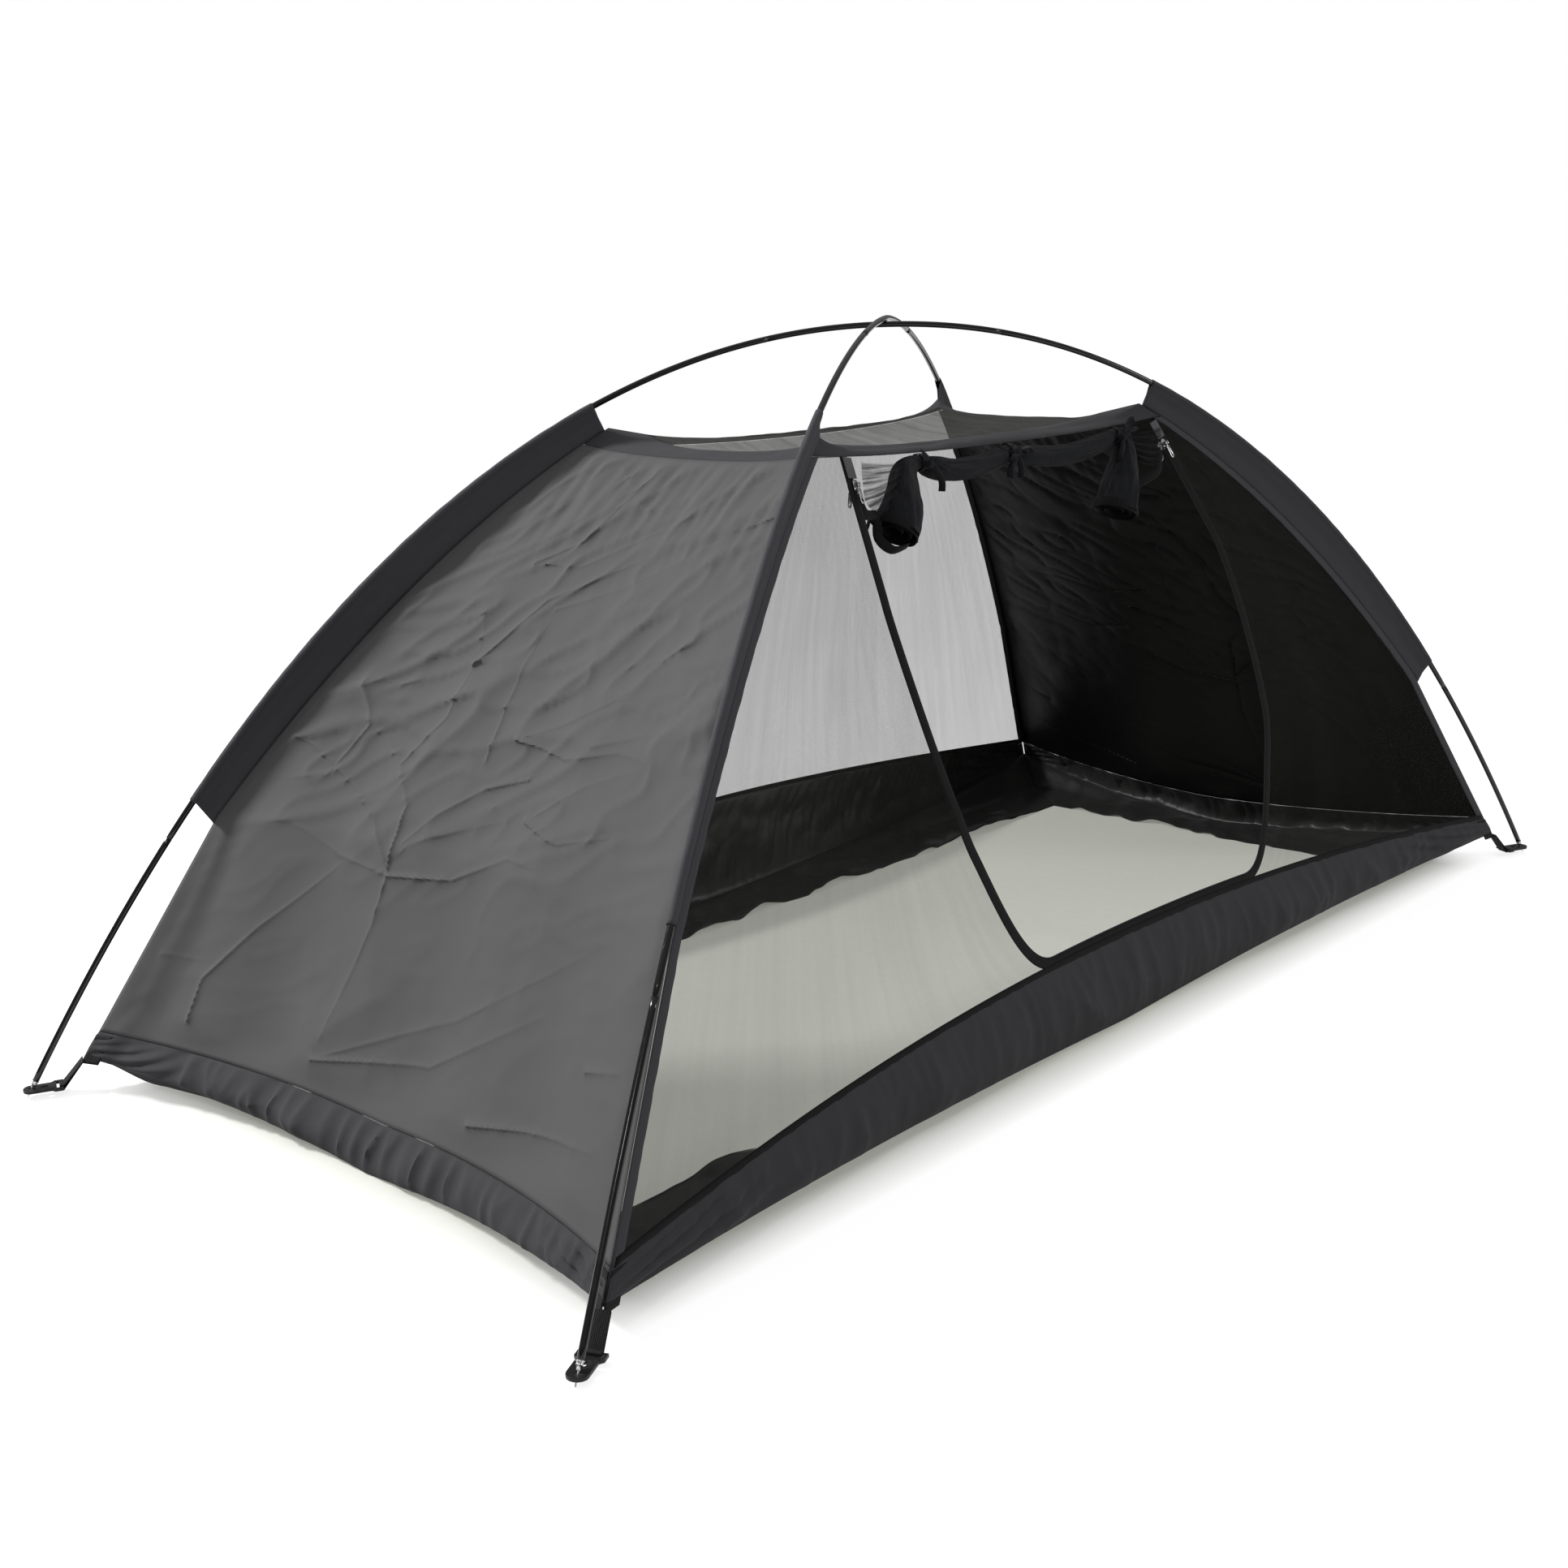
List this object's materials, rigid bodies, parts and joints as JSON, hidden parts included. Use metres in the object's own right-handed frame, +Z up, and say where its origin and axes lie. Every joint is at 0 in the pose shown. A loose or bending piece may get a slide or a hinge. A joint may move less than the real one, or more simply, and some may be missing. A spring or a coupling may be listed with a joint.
{
  "type": "mosquito net tent",
  "caption": "Low pole-hung insect net tent for one sleeper, with solid cloth ends, net sides and roof, ground skirt, and an open zipped door rolled up under the roof edge.",
  "frame": {"origin": "on the ground at the middle of the tent, under the crossing of the two poles", "axes": "+X along the long side towards the end with the door's right zip, +Y from the door side to the back, +Z up"},
  "size_m": [2.3312, 1.1092, 0.9865],
  "materials": {
    "pole": "black anodised, glossy",
    "pole_tip": "bright steel",
    "corner_plate": "black moulded plastic",
    "webbing": "black woven webbing",
    "shock_cord": "braided elastic cord",
    "sleeve_cloth": "dark coated cloth",
    "end_cloth": "mid grey crumpled coated cloth",
    "net": "black fine insect net",
    "band_cloth": "dark coated cloth with a soft sheen",
    "zip_tape": "black zip tape with coil",
    "zip_metal": "plated metal",
    "stop_tab": "grey cloth patch",
    "rolled_net": "black net rolled in layers"
  },
  "bodies": {
    "tent": {"lower_pole_section_1": "pole", "lower_pole_section_2": "pole", "lower_pole_section_3": "pole", "lower_pole_section_4": "pole", "lower_pole_section_5": "pole", "lower_pole_section_6": "pole", "lower_pole_section_7": "pole", "lower_pole_section_8": "pole", "lower_pole_section_9": "pole", "lower_pole_shock_cord": "shock_cord", "upper_pole_section_1": "pole", "upper_pole_section_2": "pole", "upper_pole_section_3": "pole", "upper_pole_section_4": "pole", "upper_pole_section_5": "pole", "upper_pole_section_6": "pole", "upper_pole_section_7": "pole", "upper_pole_section_8": "pole", "upper_pole_section_9": "pole", "upper_pole_shock_cord": "shock_cord", "pole_tip_front_left": "pole_tip", "corner_plate_front_left": "corner_plate", "corner_strap_front_left": "webbing", "pole_sleeve_front_left": "sleeve_cloth", "pole_tip_front_right": "pole_tip", "corner_plate_front_right": "corner_plate", "corner_strap_front_right": "webbing", "pole_sleeve_front_right": "sleeve_cloth", "pole_tip_back_left": "pole_tip", "corner_plate_back_left": "corner_plate", "corner_strap_back_left": "webbing", "pole_sleeve_back_left": "sleeve_cloth", "pole_tip_back_right": "pole_tip", "corner_plate_back_right": "corner_plate", "corner_strap_back_right": "webbing", "pole_sleeve_back_right": "sleeve_cloth", "end_panel_left": "end_cloth", "front_net_left": "net", "zip_stop_tab_left": "stop_tab", "end_panel_right": "end_cloth", "front_net_right": "net", "zip_stop_tab_right": "stop_tab", "back_net": "net", "roof_net": "net", "roof_edge_band": "band_cloth", "base_band_front": "band_cloth", "base_band_back": "band_cloth", "base_band_left": "band_cloth", "base_band_right": "band_cloth", "door_zip_tape": "zip_tape", "rolled_door": "rolled_net", "door_tie_left": "webbing", "door_tie_middle": "webbing", "door_tie_right": "webbing"},
    "slider_left": {"zip_slider_left": "zip_metal"},
    "slider_right": {"zip_slider_right": "zip_metal"},
    "pull_outer_left": {"zip_pull_outer_left": "zip_metal"},
    "pull_outer_right": {"zip_pull_outer_right": "zip_metal"},
    "pull_inner_left": {"zip_pull_inner_left": "zip_metal"},
    "pull_inner_right": {"zip_pull_inner_right": "zip_metal"}
  },
  "joints": [
    {"name": "zip_left_slide", "type": "slide", "parent": "tent", "child": "slider_left", "axis": [-0.0944, -0.4156, -0.9047], "range_m": [0, 0.09]},
    {"name": "pull_outer_left_swing", "type": "hinge", "parent": "slider_left", "child": "pull_outer_left", "pos_m": [-0.33775, -0.22546, 0.78108], "axis": [-0.9913, -0.0441, 0.1237], "range_deg": [0, 150]},
    {"name": "pull_inner_left_swing", "type": "hinge", "parent": "slider_left", "child": "pull_inner_left", "pos_m": [-0.33883, -0.21474, 0.77627], "axis": [0.9913, 0.0441, -0.1237], "range_deg": [-15, 100]},
    {"name": "zip_right_slide", "type": "slide", "parent": "tent", "child": "slider_right", "axis": [0.281, -0.4029, -0.8711], "range_m": [0, 0.09]},
    {"name": "pull_outer_right_swing", "type": "hinge", "parent": "slider_right", "child": "pull_outer_right", "pos_m": [0.3981, -0.2329, 0.78261], "axis": [-0.9532, -0.0116, -0.3021], "range_deg": [0, 150]},
    {"name": "pull_inner_right_swing", "type": "hinge", "parent": "slider_right", "child": "pull_inner_right", "pos_m": [0.39942, -0.2221, 0.77804], "axis": [0.9532, 0.0116, 0.3021], "range_deg": [-15, 100]}
  ]
}
